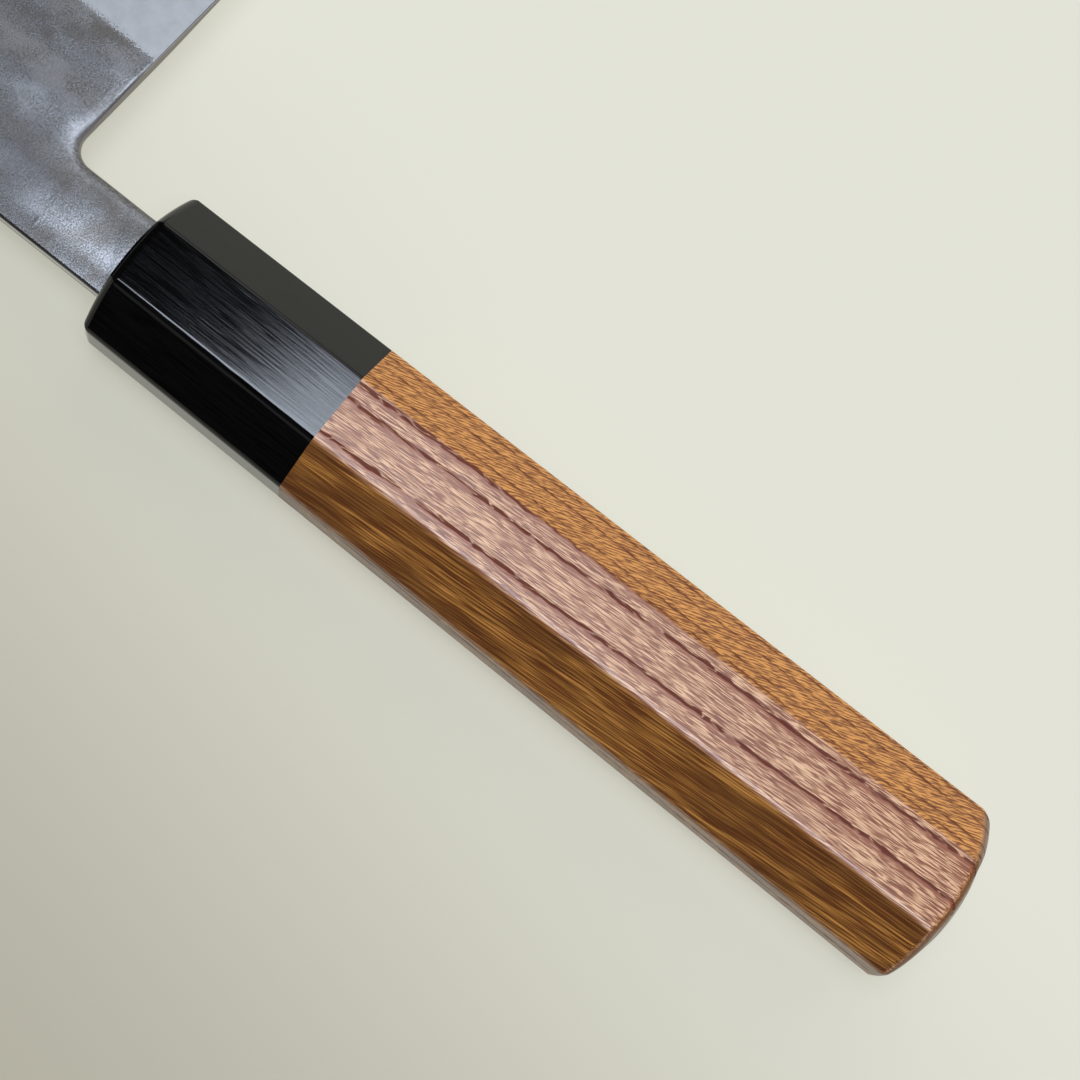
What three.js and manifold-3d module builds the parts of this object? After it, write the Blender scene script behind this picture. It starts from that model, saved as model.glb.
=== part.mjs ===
// Bunka kitchen knife with a two-piece octagonal handle: a three-layer forged blade whose hidden tang
// is bedded in a slotted dowel, and a dark ferrule and a wooden grip that are glued over that dowel.
//
// Millimetres. The knife lies on its left side: +X runs from the butt to the tip, +Y from the cutting
// edge to the spine, and +Z up through the right side of the blade. While it is drawn, X starts at the
// butt and Y and Z at the handle's centre line. The finished group is then set down with its origin
// under the middle of its box.
import * as THREE from 'three';
import { mergeVertices } from 'three/addons/utils/BufferGeometryUtils.js';
import Module from 'manifold-3d';

const wasm = await Module();
wasm.setup();

// Handle outside. Height runs from the edge side to the spine side, thickness from left to right.
const HANDLE_LENGTH = 131;
const FERRULE_LENGTH = 32.8;
const BUTT_HEIGHT = 24.4;
const BUTT_THICKNESS = 19.6;
const BUTT_SIDE_FACET = 10.7;
const BUTT_SPINE_FACET = 7.3;
const FRONT_HEIGHT = 21.7;
const FRONT_THICKNESS = 17.4;
const FRONT_SIDE_FACET = 9.5;
const FRONT_SPINE_FACET = 6.44;
const CORNER_EASE = 0.5;
const BUTT_DOME_RADIUS = 25;
const BUTT_DOME_RISE = 1.2;
const FRONT_DOME_RADIUS = 43;
const FRONT_DOME_RISE = 0;
const END_EDGE_RADIUS = 1.5;

// Handle inside.
const FERRULE_FRONT_WALL = 6;
const DOWEL_WALL = 1;
const DOWEL_END_STOCK = 9;
const DOWEL_CHAMFER = 0.6;
const BUTT_STOCK = 27;
const DRILL_POINT_ANGLE = 118;
const GLUE_LINE = 0.15;
const BEDDING_WALL = 0.5;
const SEAL_WALL = 0.6;
const SEAL_RECESS = 1;
const SEAT_GAP = 0.3;

// Blade outline.
const BLADE_LENGTH = 170;
const HEEL_HEIGHT = 47;
const NECK_HEIGHT = 12;
const NECK_LENGTH = 14.5;
const CHOIL_RADIUS = 3;
const CHOIL_LEAN = 2.7;
const CHOIL_EASE = 0.45;
const EDGE_RISE = 7.5;
const EDGE_CURVE_POWER = 2.6;
const SPINE_DROP = 2.2;
const CLIP_LENGTH = 34;

// Blade section. Each of these is a whole thickness, from the left face to the right one.
const NECK_THICKNESS = 2.8;
const TIP_THICKNESS = 1.24;
const TANG_END_THICKNESS = 2;
const CORE_THICKNESS = 0.64;
const SIDE_TAPER = 0.02;
const HEEL_BEVEL_HEIGHT = 18.9;
const TIP_BEVEL_HEIGHT = 15;
const EDGE_BEVEL_HEIGHT = 0.8;
const EDGE_BEVEL_THICKNESS = 0.26;
const SPINE_CHAMFER = 0.3;

// Tang, behind the shoulders that stop in the mouth of the ferrule.
const SHOULDER_DEPTH = 3.4;
const TANG_ROOT_HEIGHT = 8.8;
const TANG_END_HEIGHT = 5.6;
const TANG_END_CHAMFER = 1;

// Fineness of the round forms, and the overlap that lets a cut pass clean through a face.
const BORE_SIDES = 40;
const EDGE_STEPS = 4;
const DOME_SHARES = [0.25, 0.5, 0.75];
const STATION_STEP = 6;
const CUT_MARGIN = 3;

// Places along the handle, measured from the butt.
const frontX = HANDLE_LENGTH;
const jointX = HANDLE_LENGTH - FERRULE_LENGTH;
const frontWallX = frontX - FERRULE_FRONT_WALL;
const dowelFrontX = frontWallX - SEAT_GAP;
const dowelEndX = BUTT_STOCK;
const tangEndX = dowelEndX + DOWEL_END_STOCK;
const shoulderX = frontX - SHOULDER_DEPTH;

// Slot sizes follow the tang and the neck, and the dowel follows its slot.
const dowelSlotHeight = TANG_ROOT_HEIGHT + 2 * (SEAT_GAP + BEDDING_WALL);
const dowelSlotThickness = NECK_THICKNESS + 2 * (SEAT_GAP + BEDDING_WALL);
const dowelRadius = Math.hypot(dowelSlotHeight, dowelSlotThickness) / 2 + DOWEL_WALL;
const boreRadius = dowelRadius + GLUE_LINE;
const mouthHeight = NECK_HEIGHT + 2 * (SEAT_GAP + SEAL_WALL);
const mouthThickness = NECK_THICKNESS + 2 * (SEAT_GAP + SEAL_WALL);

// Places on the blade.
const spineY = NECK_HEIGHT / 2;
const heelY = spineY - HEEL_HEIGHT;
const choilTopX = frontX + NECK_LENGTH;
const neckEndX = choilTopX - CHOIL_RADIUS;
const choilLean = THREE.MathUtils.degToRad(CHOIL_LEAN);
const heelX = choilTopX - Math.tan(choilLean) * (-spineY - heelY);
const tipX = heelX + BLADE_LENGTH;
const tipY = heelY + EDGE_RISE;
const clipX = tipX - CLIP_LENGTH;

const lerp = THREE.MathUtils.lerp;

// Solids and meshes

function solidFrom(geometry) {
  const bare = geometry.index ? geometry.toNonIndexed() : geometry.clone();
  bare.deleteAttribute('normal');
  bare.deleteAttribute('uv');
  const merged = mergeVertices(bare);
  return new wasm.Manifold(new wasm.Mesh({
    numProp: 3,
    vertProperties: merged.attributes.position.array,
    triVerts: new Uint32Array(merged.index.array),
  }));
}

function geometryFrom(solid) {
  const mesh = solid.getMesh();
  const geometry = new THREE.BufferGeometry();
  geometry.setAttribute('position', new THREE.BufferAttribute(mesh.vertProperties, 3));
  geometry.setIndex(new THREE.BufferAttribute(mesh.triVerts, 1));
  geometry.computeVertexNormals();
  return geometry;
}

// Skins a run of rings that follow each other along +X, each counterclockwise seen from +X, and closes
// the two ends on a centre point.
function loft(rings, startCentre, endCentre) {
  const count = rings[0].length;
  const points = [...rings.flat(), startCentre, endCentre];
  const start = points.length - 2;
  const end = points.length - 1;
  const lastRing = (rings.length - 1) * count;
  const triangles = [];
  for (let i = 0; i < count; i++) {
    const next = (i + 1) % count;
    triangles.push(start, next, i, end, lastRing + i, lastRing + next);
    for (let k = 0; k + 1 < rings.length; k++) {
      const a = k * count + i;
      const b = k * count + next;
      triangles.push(a, b, b + count, a, b + count, a + count);
    }
  }
  return new THREE.BufferGeometry().setFromPoints(points).setIndex(triangles);
}

const ringAt = (x, section) => section.map(([y, z]) => new THREE.Vector3(x, y, z));

// A straight-sided block on the handle's centre line.
function block(startX, endX, height, thickness) {
  const box = new THREE.BoxGeometry(endX - startX, height, thickness);
  return box.translate((startX + endX) / 2, 0, 0);
}

// A turned solid about the handle's centre line, from a profile of [x, radius] pairs.
function turned(profile) {
  const points = profile.map(([x, radius]) => new THREE.Vector2(radius, x));
  return new THREE.LatheGeometry(points, BORE_SIDES).rotateZ(-Math.PI / 2);
}

// Octagonal handle

// The handle's cross-section at x: an octagon with its corners eased, counterclockwise seen from +X.
function handleSection(x) {
  const share = x / HANDLE_LENGTH;
  const halfHeight = lerp(BUTT_HEIGHT, FRONT_HEIGHT, share) / 2;
  const halfThickness = lerp(BUTT_THICKNESS, FRONT_THICKNESS, share) / 2;
  const halfSide = lerp(BUTT_SIDE_FACET, FRONT_SIDE_FACET, share) / 2;
  const halfSpine = lerp(BUTT_SPINE_FACET, FRONT_SPINE_FACET, share) / 2;
  const quarter = [[halfHeight, halfSpine], [halfSide, halfThickness]];
  const corners = [
    ...quarter,
    ...quarter.map(([y, z]) => [-y, z]).reverse(),
    ...quarter.map(([y, z]) => [-y, -z]),
    ...quarter.map(([y, z]) => [y, -z]).reverse(),
  ].map(([y, z]) => new THREE.Vector2(y, z));
  return corners.flatMap((corner, i) => {
    const before = corners.at(i - 1);
    const after = corners[(i + 1) % corners.length];
    return [before, after].map((other) => {
      const eased = corner.clone().add(other.clone().sub(corner).setLength(CORNER_EASE));
      return [eased.x, eased.y];
    });
  });
}

// Height along X of a domed handle end at [y, z]. The end looks along +X where direction is 1 and along
// -X where it is -1, and the dome's top lies domeRise from the centre line towards the spine.
function domeHeight(endX, direction, domeRadius, domeRise) {
  return (y, z) => {
    const reach = Math.hypot(y - domeRise, z);
    return endX - direction * (domeRadius - Math.sqrt(domeRadius ** 2 - reach ** 2));
  };
}

// Rings of a domed handle end, from the end of the facets over a rounded edge to the crown.
function domedEnd(endX, direction, domeX) {
  const drawnIn = (y, z, inset) => {
    const share = 1 - inset / Math.hypot(y, z);
    return [y * share, z * share];
  };
  const edge = handleSection(endX).map(([y, z], i) => {
    const x = domeX(...drawnIn(y, z, END_EDGE_RADIUS)) - direction * END_EDGE_RADIUS;
    const [facetY, facetZ] = handleSection(x)[i];
    return new THREE.Vector3(x, facetY, facetZ);
  });
  const rings = [edge];
  for (let step = 1; step <= EDGE_STEPS; step++) {
    const turn = (step / EDGE_STEPS) * (Math.PI / 2);
    const inset = END_EDGE_RADIUS * (1 - Math.cos(turn));
    const rise = direction * END_EDGE_RADIUS * Math.sin(turn);
    rings.push(edge.map((point) => {
      const [y, z] = drawnIn(point.y, point.z, inset);
      return new THREE.Vector3(point.x + rise, y, z);
    }));
  }
  for (const share of DOME_SHARES.toReversed()) {
    rings.push(edge.map((point) => {
      const [y, z] = drawnIn(point.y, point.z, END_EDGE_RADIUS).map((part) => part * share);
      return new THREE.Vector3(domeX(y, z), y, z);
    }));
  }
  return rings;
}

function handleBody() {
  const domeX = domeHeight(0, -1, BUTT_DOME_RADIUS, BUTT_DOME_RISE);
  const butt = domedEnd(0, -1, domeX).reverse();
  const rings = [...butt, ringAt(jointX, handleSection(jointX))];
  const crown = new THREE.Vector3(domeX(0, 0), 0, 0);
  const outside = loft(rings, crown, new THREE.Vector3(jointX, 0, 0));
  const drillPoint = boreRadius / Math.tan(THREE.MathUtils.degToRad(DRILL_POINT_ANGLE / 2));
  const boreEndX = dowelEndX - SEAT_GAP;
  const bore = turned([
    [boreEndX - drillPoint, 0],
    [boreEndX, boreRadius],
    [jointX + CUT_MARGIN, boreRadius],
    [jointX + CUT_MARGIN, 0],
  ]);
  return geometryFrom(solidFrom(outside).subtract(solidFrom(bore)));
}

function ferrule() {
  const domeX = domeHeight(frontX, 1, FRONT_DOME_RADIUS, FRONT_DOME_RISE);
  const front = domedEnd(frontX, 1, domeX);
  const rings = [ringAt(jointX, handleSection(jointX)), ...front];
  const crown = new THREE.Vector3(domeX(0, 0), 0, 0);
  const outside = loft(rings, new THREE.Vector3(jointX, 0, 0), crown);
  const bore = turned([
    [jointX - CUT_MARGIN, 0],
    [jointX - CUT_MARGIN, boreRadius],
    [frontWallX, boreRadius],
    [frontWallX, 0],
  ]);
  const mouth = block(frontWallX - CUT_MARGIN, frontX + CUT_MARGIN, mouthHeight, mouthThickness);
  return geometryFrom(solidFrom(outside).subtract(solidFrom(bore)).subtract(solidFrom(mouth)));
}

// Dowel, bedding and seal

function handleDowel() {
  const rod = turned([
    [dowelEndX, 0],
    [dowelEndX, dowelRadius - DOWEL_CHAMFER],
    [dowelEndX + DOWEL_CHAMFER, dowelRadius],
    [dowelFrontX - DOWEL_CHAMFER, dowelRadius],
    [dowelFrontX, dowelRadius - DOWEL_CHAMFER],
    [dowelFrontX, 0],
  ]);
  const slotEndX = tangEndX - SEAT_GAP - BEDDING_WALL;
  const slot = block(slotEndX, dowelFrontX + CUT_MARGIN, dowelSlotHeight, dowelSlotThickness);
  return geometryFrom(solidFrom(rod).subtract(solidFrom(slot)));
}

// The tang with a seat gap all round it: a tapered socket for the bedding to leave open.
function tangSocket(frontEndX) {
  const section = (x) => {
    const halfHeight = tangHeight(x) / 2 + SEAT_GAP;
    const halfThickness = bladeThickness(x) / 2 + SEAT_GAP;
    return [
      [halfHeight, -halfThickness],
      [halfHeight, halfThickness],
      [-halfHeight, halfThickness],
      [-halfHeight, -halfThickness],
    ];
  };
  const startX = tangEndX - SEAT_GAP;
  const rings = [ringAt(startX, section(tangEndX)), ringAt(frontEndX, section(frontEndX))];
  return loft(rings, new THREE.Vector3(startX, 0, 0), new THREE.Vector3(frontEndX, 0, 0));
}

function tangBedding() {
  const slotEndX = tangEndX - SEAT_GAP - BEDDING_WALL;
  const fill = block(slotEndX, dowelFrontX, dowelSlotHeight, dowelSlotThickness);
  return geometryFrom(solidFrom(fill).subtract(solidFrom(tangSocket(shoulderX))));
}

function mouthSeal() {
  const fill = block(frontWallX, frontX - SEAL_RECESS, mouthHeight, mouthThickness);
  const neckHeight = NECK_HEIGHT + 2 * SEAT_GAP;
  const neckThickness = NECK_THICKNESS + 2 * SEAT_GAP;
  const neck = block(frontWallX - CUT_MARGIN, frontX + CUT_MARGIN, neckHeight, neckThickness);
  return geometryFrom(solidFrom(fill).subtract(solidFrom(neck)));
}

// Blade

// Whole thickness at the spine: thin at the tang's end, full along the neck and thinning to the tip.
function bladeThickness(x) {
  if (x < frontX) {
    return lerp(TANG_END_THICKNESS, NECK_THICKNESS, (x - tangEndX) / (frontX - tangEndX));
  }
  return lerp(NECK_THICKNESS, TIP_THICKNESS, Math.max(0, x - neckEndX) / (tipX - neckEndX));
}

function tangHeight(x) {
  return lerp(TANG_END_HEIGHT, TANG_ROOT_HEIGHT, (x - tangEndX) / (shoulderX - tangEndX));
}

const edgeY = (x) => heelY + EDGE_RISE * (Math.max(0, x - heelX) / BLADE_LENGTH) ** EDGE_CURVE_POWER;
const spineLineY = (x) => spineY - SPINE_DROP * (Math.max(0, x - neckEndX) / (clipX - neckEndX)) ** 2;

// The ground section at x: cutting edge, edge bevel, broad bevel, flat side and chamfered spine.
function bladeSection(x) {
  const sideTaper = SIDE_TAPER * THREE.MathUtils.clamp((x - frontX) / (neckEndX - frontX), 0, 1);
  const halfAt = (y) => (bladeThickness(x) - sideTaper * (spineY - y)) / 2;
  const bevelHeight = lerp(HEEL_BEVEL_HEIGHT, TIP_BEVEL_HEIGHT, Math.max(0, x - heelX) / BLADE_LENGTH);
  const edge = edgeY(x);
  const bevelTop = edge + bevelHeight;
  const top = spineLineY(x);
  const shoulder = top - SPINE_CHAMFER;
  const right = [
    [top, halfAt(shoulder) - SPINE_CHAMFER],
    [shoulder, halfAt(shoulder)],
    [bevelTop, halfAt(bevelTop)],
    [edge + EDGE_BEVEL_HEIGHT, EDGE_BEVEL_THICKNESS / 2],
  ];
  const left = right.map(([y, z]) => [y, -z]).reverse();
  return [...right, [edge, 0], ...left];
}

// The blank as ground: sections at an even pitch, with one at each place where the taper changes.
function groundBlank() {
  const startX = tangEndX - CUT_MARGIN;
  const endX = tipX + CUT_MARGIN;
  const stations = [startX, frontX];
  const steps = Math.ceil((endX - neckEndX) / STATION_STEP);
  for (let i = 0; i <= steps; i++) {
    stations.push(lerp(neckEndX, endX, i / steps));
  }
  const rings = stations.map((x) => ringAt(x, bladeSection(x)));
  const middle = (x) => new THREE.Vector3(x, 0, 0);
  return loft(rings, middle(startX), middle(endX));
}

// The outline as cut from the sheet: tang, shoulders, neck, rounded choil, heel and angled tip. It
// stands clear of the cutting edge and the spine, which the grinding makes.
function outlineShape() {
  const tangEnd = TANG_END_HEIGHT / 2;
  const tangRoot = TANG_ROOT_HEIGHT / 2;
  const neck = NECK_HEIGHT / 2;
  const rootX = shoulderX - (neck - tangRoot);
  const filletX = choilTopX - CHOIL_RADIUS * (1 + Math.sin(choilLean)) / Math.cos(choilLean);
  const belowHeel = heelY - CUT_MARGIN;
  const aboveSpine = spineY + CUT_MARGIN;
  const clipLineX = (y) => lerp(tipX, clipX, (y - tipY) / (spineLineY(clipX) - tipY));
  const shape = new THREE.Shape();
  shape.moveTo(tangEndX, -tangEnd + TANG_END_CHAMFER);
  shape.lineTo(tangEndX + TANG_END_CHAMFER, -tangEnd);
  shape.lineTo(rootX, -tangRoot);
  shape.lineTo(shoulderX, -neck);
  shape.lineTo(filletX, -neck);
  shape.absarc(filletX, -neck - CHOIL_RADIUS, CHOIL_RADIUS, Math.PI / 2, -choilLean, true);
  shape.lineTo(choilTopX - Math.tan(choilLean) * (-neck - belowHeel), belowHeel);
  shape.lineTo(clipLineX(belowHeel), belowHeel);
  shape.lineTo(clipLineX(aboveSpine), aboveSpine);
  shape.lineTo(shoulderX, aboveSpine);
  shape.lineTo(shoulderX, neck);
  shape.lineTo(rootX, tangRoot);
  shape.lineTo(tangEndX + TANG_END_CHAMFER, tangEnd);
  shape.lineTo(tangEndX, tangEnd - TANG_END_CHAMFER);
  shape.closePath();
  return shape;
}

// The outline as a solid. Its edges are rounded over just past the neck's faces, which eases the neck
// and the choil to the fingers and leaves the thinner heel and tip as they are.
function outlineSolid() {
  const reach = NECK_THICKNESS + 2 * CHOIL_EASE;
  const bevel = 2 * CHOIL_EASE;
  const depth = reach - 2 * bevel;
  const solid = new THREE.ExtrudeGeometry(outlineShape(), {
    depth,
    bevelThickness: bevel,
    bevelSize: bevel,
    bevelOffset: -bevel,
    bevelSegments: EDGE_STEPS,
  });
  return solid.translate(0, 0, -depth / 2);
}

// The ground blank cut to its outline, then parted into the hard core and its two soft claddings.
function bladeLayers() {
  const blade = solidFrom(groundBlank()).intersect(solidFrom(outlineSolid()));
  const startX = tangEndX - CUT_MARGIN;
  const endX = tipX + CUT_MARGIN;
  const slabHeight = 2 * (HEEL_HEIGHT + CUT_MARGIN);
  const coreSlab = solidFrom(block(startX, endX, slabHeight, CORE_THICKNESS));
  const sideSlab = block(startX, endX, slabHeight, NECK_THICKNESS);
  const sideShift = (CORE_THICKNESS + NECK_THICKNESS) / 2;
  const rightSlab = solidFrom(sideSlab.clone().translate(0, 0, sideShift));
  const leftSlab = solidFrom(sideSlab.clone().translate(0, 0, -sideShift));
  return {
    core: geometryFrom(blade.intersect(coreSlab)),
    right: geometryFrom(blade.intersect(rightSlab)),
    left: geometryFrom(blade.intersect(leftSlab)),
  };
}

// Finishes

function finish(color, roughness, metalness) {
  return new THREE.MeshStandardMaterial({ color, roughness, metalness });
}

const coreSteel = finish(0xb9bec6, 0.28, 1);
const pearSkinSteel = finish(0x85878c, 0.5, 1);
const darkFerrule = finish(0x121214, 0.3, 0);
const gripWood = finish(0xa8703a, 0.45, 0);
const paleWood = finish(0xd8bf95, 0.7, 0);
const amberResin = finish(0xb08a4a, 0.3, 0);
const blackSealant = finish(0x1a1918, 0.5, 0);

// Assembly

function named(name, geometry, material) {
  const mesh = new THREE.Mesh(geometry, material);
  mesh.name = name;
  return mesh;
}

const layers = bladeLayers();
const blade = new THREE.Group();
blade.add(
  named('blade_core', layers.core, coreSteel),
  named('blade_cladding_right', layers.right, pearSkinSteel),
  named('blade_cladding_left', layers.left, pearSkinSteel),
);

const handle = new THREE.Group();
handle.add(
  named('ferrule', ferrule(), darkFerrule),
  named('handle_body', handleBody(), gripWood),
  named('handle_dowel', handleDowel(), paleWood),
  named('tang_bedding', tangBedding(), amberResin),
  named('mouth_seal', mouthSeal(), blackSealant),
);

const knife = new THREE.Group();
knife.add(blade, handle);
const box = new THREE.Box3().setFromObject(knife);
const middle = box.getCenter(new THREE.Vector3());
knife.position.set(-middle.x, -middle.y, -box.min.z);

export default knife;
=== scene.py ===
# %% [markdown]
# # A bunka knife, finished in Blender
# The CAD part gives the knife its true sizes: a laminated blade whose tang is bedded in an octagonal
# two-piece handle. This lesson loads that part as a fixed frame, models the surfaces that show with
# Blender's own operators, gives every piece a procedural finish, and sets up the camera and the light.
# All sizes below are in millimetres where a name ends in `_MM`, and Blender's own metres elsewhere.

# %% Load the frame
import math

import bmesh
import bpy
from mathutils import Matrix, Vector, noise


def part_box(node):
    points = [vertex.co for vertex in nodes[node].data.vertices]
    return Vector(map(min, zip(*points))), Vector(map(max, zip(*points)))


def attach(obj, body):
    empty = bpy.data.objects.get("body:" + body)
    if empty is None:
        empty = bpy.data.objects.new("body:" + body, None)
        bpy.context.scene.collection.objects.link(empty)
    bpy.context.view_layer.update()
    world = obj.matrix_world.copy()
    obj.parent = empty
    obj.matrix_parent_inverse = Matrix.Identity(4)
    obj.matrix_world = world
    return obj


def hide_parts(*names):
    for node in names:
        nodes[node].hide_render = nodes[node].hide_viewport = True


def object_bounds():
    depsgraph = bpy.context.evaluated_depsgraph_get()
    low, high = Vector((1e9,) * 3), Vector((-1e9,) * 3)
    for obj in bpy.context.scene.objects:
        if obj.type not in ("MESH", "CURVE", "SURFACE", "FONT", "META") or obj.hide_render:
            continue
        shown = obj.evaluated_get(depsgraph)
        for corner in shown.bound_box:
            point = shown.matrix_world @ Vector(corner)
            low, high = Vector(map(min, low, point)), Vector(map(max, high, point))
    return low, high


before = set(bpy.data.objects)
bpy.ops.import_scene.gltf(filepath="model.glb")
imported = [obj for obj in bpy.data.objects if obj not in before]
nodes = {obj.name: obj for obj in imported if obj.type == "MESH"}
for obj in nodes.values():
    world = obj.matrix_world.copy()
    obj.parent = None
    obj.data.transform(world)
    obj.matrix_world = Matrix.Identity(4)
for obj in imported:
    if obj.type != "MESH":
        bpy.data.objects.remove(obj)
cad_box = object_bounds()
print("nodes:", sorted(nodes))

# %% [markdown]
# ## One place to measure from
# A knife maker measures along the handle from its butt and across it from its centre line. The frame
# gives both: the grip's box starts at the butt, and the middle of the ferrule's box is the centre line,
# which is also the mid-plane of the blade. `place` turns such a measurement into Blender's metres.

# %% Measure from the butt, on the handle's centre line
MM = 0.001
grip_low, grip_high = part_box("handle_body")
ferrule_low, ferrule_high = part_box("ferrule")
ferrule_middle = (ferrule_low + ferrule_high) / 2
ORIGIN = Vector((grip_low.x, ferrule_middle.y, ferrule_middle.z))
JOINT_MM = (grip_high.x - grip_low.x) / MM
HANDLE_MM = 131.0


def place(x, y, z):
    """A point given in millimetres from the butt, on the handle's centre line, in metres."""
    return ORIGIN + Vector((x, y, z)) * MM


print("butt at", [round(c, 4) for c in ORIGIN], "joint", round(JOINT_MM, 2), "mm ahead of it")

# %% [markdown]
# ## The camera
# The photograph looks down on the handle from a hand's reach, so lines along the handle draw together
# a little. The camera's place and its three axes were worked out from the handle's straight edges.

# %% Camera
CAMERA_MM = (65.939, 62.029, 319.024)
LOOK_RIGHT = Vector((-0.78368, -0.60951, 0.11978))
LOOK_FORWARD = Vector((0.00947, -0.20453, -0.97881))
LENS_MM = 86.667
SENSOR_MM = 36.0
CLIP_NEAR = 0.01
CLIP_FAR = 20.0


def select_none():
    """Clears the selection, because an operator acts on all that is selected."""
    bpy.ops.object.select_all(action="DESELECT")


select_none()
bpy.ops.object.camera_add()
camera = bpy.context.object
camera.name = "camera"
camera.data.lens = LENS_MM
camera.data.sensor_width = SENSOR_MM
camera.data.clip_start = CLIP_NEAR
camera.data.clip_end = CLIP_FAR
backward = -LOOK_FORWARD.normalized()
upward = backward.cross(LOOK_RIGHT).normalized()
rightward = upward.cross(backward)
turn = Matrix((rightward, upward, backward)).transposed().to_4x4()
camera.matrix_world = Matrix.Translation(place(*CAMERA_MM)) @ turn
bpy.context.scene.camera = camera
print("camera at", [round(c, 4) for c in camera.location])

# %% [markdown]
# ## Picking by place
# At the desk you would click on a face or an edge. A script picks by where a thing lies or which way
# it faces, and then calls the same operator that the menu would.

# %% Helpers for edit mode
HANDLE_ANGLE = 35


def pick(piece, kind, test):
    """Goes to edit mode and selects the faces, edges or corners that pass the test."""
    bpy.ops.object.mode_set(mode="EDIT")
    bpy.ops.mesh.select_mode(type={"faces": "FACE", "edges": "EDGE", "verts": "VERT"}[kind])
    bpy.ops.mesh.select_all(action="DESELECT")
    mesh = bmesh.from_edit_mesh(piece.data)
    for item in getattr(mesh, kind):
        if test(item):
            item.select_set(True)
    mesh.select_flush_mode()
    bmesh.update_edit_mesh(piece.data)


def leave_edit_mode():
    bpy.ops.object.mode_set(mode="OBJECT")


def only(piece):
    """Selects this piece alone and makes it active."""
    select_none()
    piece.select_set(True)
    bpy.context.view_layer.objects.active = piece


def settle(name):
    """Names the primitive that was just added and moves its place into its mesh."""
    bpy.ops.object.transform_apply(location=True, rotation=True, scale=True)
    piece = bpy.context.object
    piece.name = name
    return piece


def new_box(name, low, high):
    """A box between two corners that are given in millimetres from the butt."""
    low, high = place(*low), place(*high)
    select_none()
    bpy.ops.mesh.primitive_cube_add(size=1, location=(low + high) / 2, scale=high - low)
    return settle(name)


def apply_modifier(piece, kind, **settings):
    """Adds one modifier, sets it and applies it."""
    only(piece)
    bpy.ops.object.modifier_add(type=kind)
    modifier = piece.modifiers[-1]
    for name, value in settings.items():
        setattr(modifier, name, value)
    bpy.ops.object.modifier_apply(modifier=modifier.name)


def cut_away(piece, tool):
    """Takes the tool's shape out of the piece, and then the tool itself away."""
    apply_modifier(piece, "BOOLEAN", operation="DIFFERENCE", object=tool, solver="EXACT")
    bpy.data.objects.remove(tool)


def shade(piece, angle):
    """Smooth shading, with a hard line along every edge that bends by more than the angle."""
    only(piece)
    bpy.ops.object.shade_smooth()
    pick(piece, "edges", lambda edge: edge.calc_face_angle(0.0) > math.radians(angle))
    bpy.ops.mesh.mark_sharp()
    leave_edit_mode()


def settle_normals(piece):
    """Smooth shading on the handle, with broad faces setting the shading at their edges."""
    shade(piece, HANDLE_ANGLE)
    apply_modifier(piece, "WEIGHTED_NORMAL", keep_sharp=True, weight=100)


# %% [markdown]
# ## The octagonal handle
# Such a handle is planed from a square bar: the four long corners come off first, then the bar is
# tapered towards the blade, then every edge is eased with fine paper, and at last the ends are crowned.
# The edges towards the spine lie in the palm and are eased more. The mesh is made in the same order.
# The chamfers are not quite 45 degrees, so the bar is chamfered while it is a little too thick and then
# pressed to its true thickness.

# %% Sizes of the octagon
BUTT_HEIGHT_MM = 24.4
BUTT_THICK_MM = 19.6
BUTT_SIDE_FACET_MM = 10.7
BUTT_SPINE_FACET_MM = 7.3
FRONT_HEIGHT_MM = 21.7
FRONT_THICK_MM = 17.4
EASE_MM = 0.75
EDGE_EASE_MM = 0.3
EASE_PROFILE = 0.62
EASE_ROWS = 10
END_EDGE_MM = 1.5
BUTT_DOME_MM = 25.0
BUTT_DOME_RISE_MM = 1.2
BUTT_CORNER_MM = 2.0
FRONT_DOME_MM = 43.0
AT_END = MM / 2


def height_at(x):
    """The handle's height at x millimetres from the butt."""
    return BUTT_HEIGHT_MM + (FRONT_HEIGHT_MM - BUTT_HEIGHT_MM) * x / HANDLE_MM


def thickness_at(x):
    """The handle's thickness at x millimetres from the butt."""
    return BUTT_THICK_MM + (FRONT_THICK_MM - BUTT_THICK_MM) * x / HANDLE_MM


def octagon_bar(name, start, end):
    """A tapered octagonal bar from start to end, with eased long edges and flat ends."""
    side_cut = (BUTT_HEIGHT_MM - BUTT_SIDE_FACET_MM) / 2
    press = (BUTT_THICK_MM - BUTT_SPINE_FACET_MM) / 2 / side_cut
    half_height = BUTT_HEIGHT_MM / 2
    half_thick = BUTT_THICK_MM / 2 / press
    bar = new_box(name, (start, -half_height, -half_thick), (end, half_height, half_thick))
    along = lambda edge: abs(edge.verts[0].co.x - edge.verts[1].co.x) > (end - start) * MM / 2
    pick(bar, "edges", along)
    bpy.ops.mesh.bevel(offset=side_cut * MM, offset_type="OFFSET", segments=1, affect="EDGES")
    bpy.ops.mesh.select_all(action="SELECT")
    bpy.ops.transform.resize(value=(1, 1, press), center_override=ORIGIN)
    for x in (start, end):
        pick(bar, "verts", lambda vert: abs(vert.co.x - place(x, 0, 0).x) < AT_END)
        tall = height_at(x) / BUTT_HEIGHT_MM
        thick = thickness_at(x) / BUTT_THICK_MM
        bpy.ops.transform.resize(value=(1, tall, thick), center_override=ORIGIN)
    for ease, side in ((EASE_MM, 1), (EDGE_EASE_MM, -1)):
        pick(bar, "edges", lambda edge: along(edge) and side * (edge.verts[0].co.y - ORIGIN.y) > 0)
        bpy.ops.mesh.bevel(
            offset=ease * MM,
            offset_type="OFFSET",
            segments=EASE_ROWS,
            profile=EASE_PROFILE,
            affect="EDGES",
        )
    leave_edit_mode()
    return bar


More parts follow.
